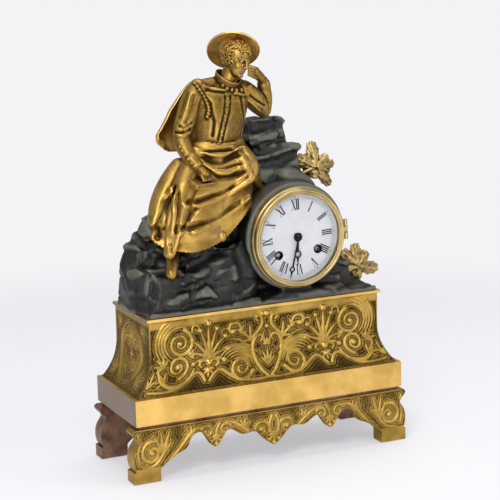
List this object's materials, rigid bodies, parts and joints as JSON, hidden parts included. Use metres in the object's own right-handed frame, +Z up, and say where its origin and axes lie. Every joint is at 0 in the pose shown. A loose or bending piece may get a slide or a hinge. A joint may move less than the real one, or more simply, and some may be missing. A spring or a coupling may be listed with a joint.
{
  "type": "figural mantel clock",
  "caption": "Mantel clock with a seated figure leaning on a rock that holds a round glazed dial, on a stepped base with curved relief panels and scroll feet.",
  "frame": {"origin": "on the table, under the middle of the base", "axes": "+X to the viewer's right, +Y to the back, +Z up"},
  "size_m": [0.278, 0.099, 0.3967],
  "materials": {
    "gilt_bronze": "fire gilt, worn, matt and burnished",
    "brown_bronze": "ungilt, oxidised",
    "dark_bronze": "dark patina",
    "movement_brass": "lacquered",
    "steel": "polished",
    "enamel": "white enamel",
    "glass": "clear",
    "blued_steel": "blued",
    "silk": "thread",
    "bell_metal": "turned"
  },
  "bodies": {
    "case": {"base_top_plate": "gilt_bronze", "front_frieze": "gilt_bronze", "left_frieze": "gilt_bronze", "right_frieze": "gilt_bronze", "plinth_band": "gilt_bronze", "front_apron": "gilt_bronze", "upper_leaf": "gilt_bronze", "lower_leaf": "gilt_bronze", "figure_robe": "gilt_bronze", "figure_torso": "gilt_bronze", "figure_head": "gilt_bronze", "figure_hat": "gilt_bronze", "figure_right_arm": "gilt_bronze", "figure_left_arm": "gilt_bronze", "figure_book": "gilt_bronze", "figure_shoes": "gilt_bronze", "figure_cape": "gilt_bronze", "dial_ring": "gilt_bronze", "back_panel": "brown_bronze", "plinth_underplate": "brown_bronze", "rear_feet": "brown_bronze", "rock_terrace": "dark_bronze", "winding_collets": "movement_brass", "rear_ring": "movement_brass", "case_straps": "movement_brass", "front_plate": "movement_brass", "back_plate": "movement_brass", "plate_pillars": "movement_brass", "suspension_cock": "movement_brass", "bell_stand": "movement_brass", "bell_nut": "movement_brass", "fixing_studs": "steel", "fixing_nuts": "steel", "hinge_pins": "steel", "enamel_dial": "enamel", "bell": "bell_metal"},
    "bezel_door": {"glazed_bezel": "gilt_bronze", "bezel_glass": "glass"},
    "rear_door": {"rear_door": "movement_brass"},
    "minute_hand": {"minute_hand": "blued_steel", "hand_collet": "movement_brass", "cannon_pinion": "steel"},
    "hour_hand": {"hour_hand": "blued_steel", "hour_wheel": "movement_brass"},
    "minute_wheel": {"minute_wheel": "movement_brass"},
    "going_barrel": {"going_barrel": "movement_brass"},
    "going_winding_arbor": {"going_winding_arbor": "steel"},
    "second_wheel": {"second_wheel": "movement_brass"},
    "centre_wheel": {"centre_wheel": "movement_brass"},
    "third_wheel": {"third_wheel": "movement_brass"},
    "escape_wheel": {"escape_wheel": "movement_brass"},
    "pendulum": {"silk_loop": "silk", "pendulum_rod": "steel", "pendulum_bob": "movement_brass"},
    "anchor": {"anchor_and_crutch": "steel"},
    "strike_barrel": {"strike_barrel": "movement_brass"},
    "strike_winding_arbor": {"strike_winding_arbor": "steel"},
    "pin_wheel": {"pin_wheel": "movement_brass"},
    "fly": {"fly": "movement_brass"},
    "hammer": {"hammer": "steel"}
  },
  "joints": [
    {"name": "bezel_hinge", "type": "hinge", "parent": "case", "child": "bezel_door", "pos_m": [0.08323, -0.038, 0.20858], "axis": [-0.0523, 0, 0.9986], "range_deg": [0, 105]},
    {"name": "rear_door_hinge", "type": "hinge", "parent": "case", "child": "rear_door", "pos_m": [-0.01523, 0.0451, 0.20342], "axis": [-0.0523, 0, 0.9986], "range_deg": [0, 100]},
    {"name": "minute_turn", "type": "hinge", "parent": "case", "child": "minute_hand", "pos_m": [0.034, 0, 0.206], "axis": [0, -1, 0], "continuous": true},
    {"name": "hour_turn", "type": "hinge", "parent": "case", "child": "hour_hand", "pos_m": [0.034, 0, 0.206], "axis": [0, -1, 0], "continuous": true},
    {"name": "minute_wheel_turn", "type": "hinge", "parent": "case", "child": "minute_wheel", "pos_m": [0.0345, 0, 0.19641], "axis": [0, -1, 0], "continuous": true},
    {"name": "escape_turn", "type": "hinge", "parent": "case", "child": "escape_wheel", "pos_m": [0.03271, 0, 0.23067], "axis": [0, -1, 0], "continuous": true},
    {"name": "third_turn", "type": "hinge", "parent": "case", "child": "third_wheel", "pos_m": [0.02493, 0, 0.21997], "axis": [0, -1, 0], "continuous": true},
    {"name": "centre_turn", "type": "hinge", "parent": "case", "child": "centre_wheel", "pos_m": [0.034, 0, 0.206], "axis": [0, -1, 0], "continuous": true},
    {"name": "second_turn", "type": "hinge", "parent": "case", "child": "second_wheel", "pos_m": [0.05088, 0, 0.21099], "axis": [0, -1, 0], "continuous": true},
    {"name": "going_barrel_turn", "type": "hinge", "parent": "case", "child": "going_barrel", "pos_m": [0.05473, 0, 0.19267], "axis": [0, -1, 0], "continuous": true},
    {"name": "going_winding", "type": "hinge", "parent": "case", "child": "going_winding_arbor", "pos_m": [0.05473, 0, 0.19267], "axis": [0, -1, 0], "continuous": true},
    {"name": "fly_turn", "type": "hinge", "parent": "case", "child": "fly", "pos_m": [0.00896, 0, 0.22303], "axis": [0, -1, 0], "continuous": true},
    {"name": "pin_wheel_turn", "type": "hinge", "parent": "case", "child": "pin_wheel", "pos_m": [0.01218, 0, 0.20911], "axis": [0, -1, 0], "continuous": true},
    {"name": "strike_barrel_turn", "type": "hinge", "parent": "case", "child": "strike_barrel", "pos_m": [0.01478, 0, 0.19057], "axis": [0, -1, 0], "continuous": true},
    {"name": "strike_winding", "type": "hinge", "parent": "case", "child": "strike_winding_arbor", "pos_m": [0.01478, 0, 0.19057], "axis": [0, -1, 0], "continuous": true},
    {"name": "pendulum_swing", "type": "hinge", "parent": "case", "child": "pendulum", "pos_m": [0.03216, 0, 0.24116], "axis": [0, -1, 0], "range_deg": [-4, 4]},
    {"name": "anchor_rock", "type": "hinge", "parent": "case", "child": "anchor", "pos_m": [0.03216, 0, 0.24116], "axis": [0, -1, 0], "range_deg": [-4, 4]},
    {"name": "hammer_swing", "type": "hinge", "parent": "case", "child": "hammer", "pos_m": [0.00404, 0, 0.1854], "axis": [0, -1, 0], "range_deg": [-4, 12], "stiffness_Nm_per_rad": 0.01}
  ],
  "couplings": [
    {"joint": "hour_turn", "follows": "minute_turn", "ratio": 0.083333},
    {"joint": "minute_wheel_turn", "follows": "minute_turn", "ratio": -0.33333},
    {"joint": "third_turn", "follows": "escape_turn", "ratio": -0.088889},
    {"joint": "centre_turn", "follows": "escape_turn", "ratio": 0.0079012},
    {"joint": "second_turn", "follows": "escape_turn", "ratio": -0.0011287},
    {"joint": "going_barrel_turn", "follows": "escape_turn", "ratio": 0.00020523},
    {"joint": "pin_wheel_turn", "follows": "fly_turn", "ratio": -0.13333},
    {"joint": "strike_barrel_turn", "follows": "fly_turn", "ratio": 0.024242},
    {"joint": "anchor_rock", "follows": "pendulum_swing", "ratio": 1}
  ]
}
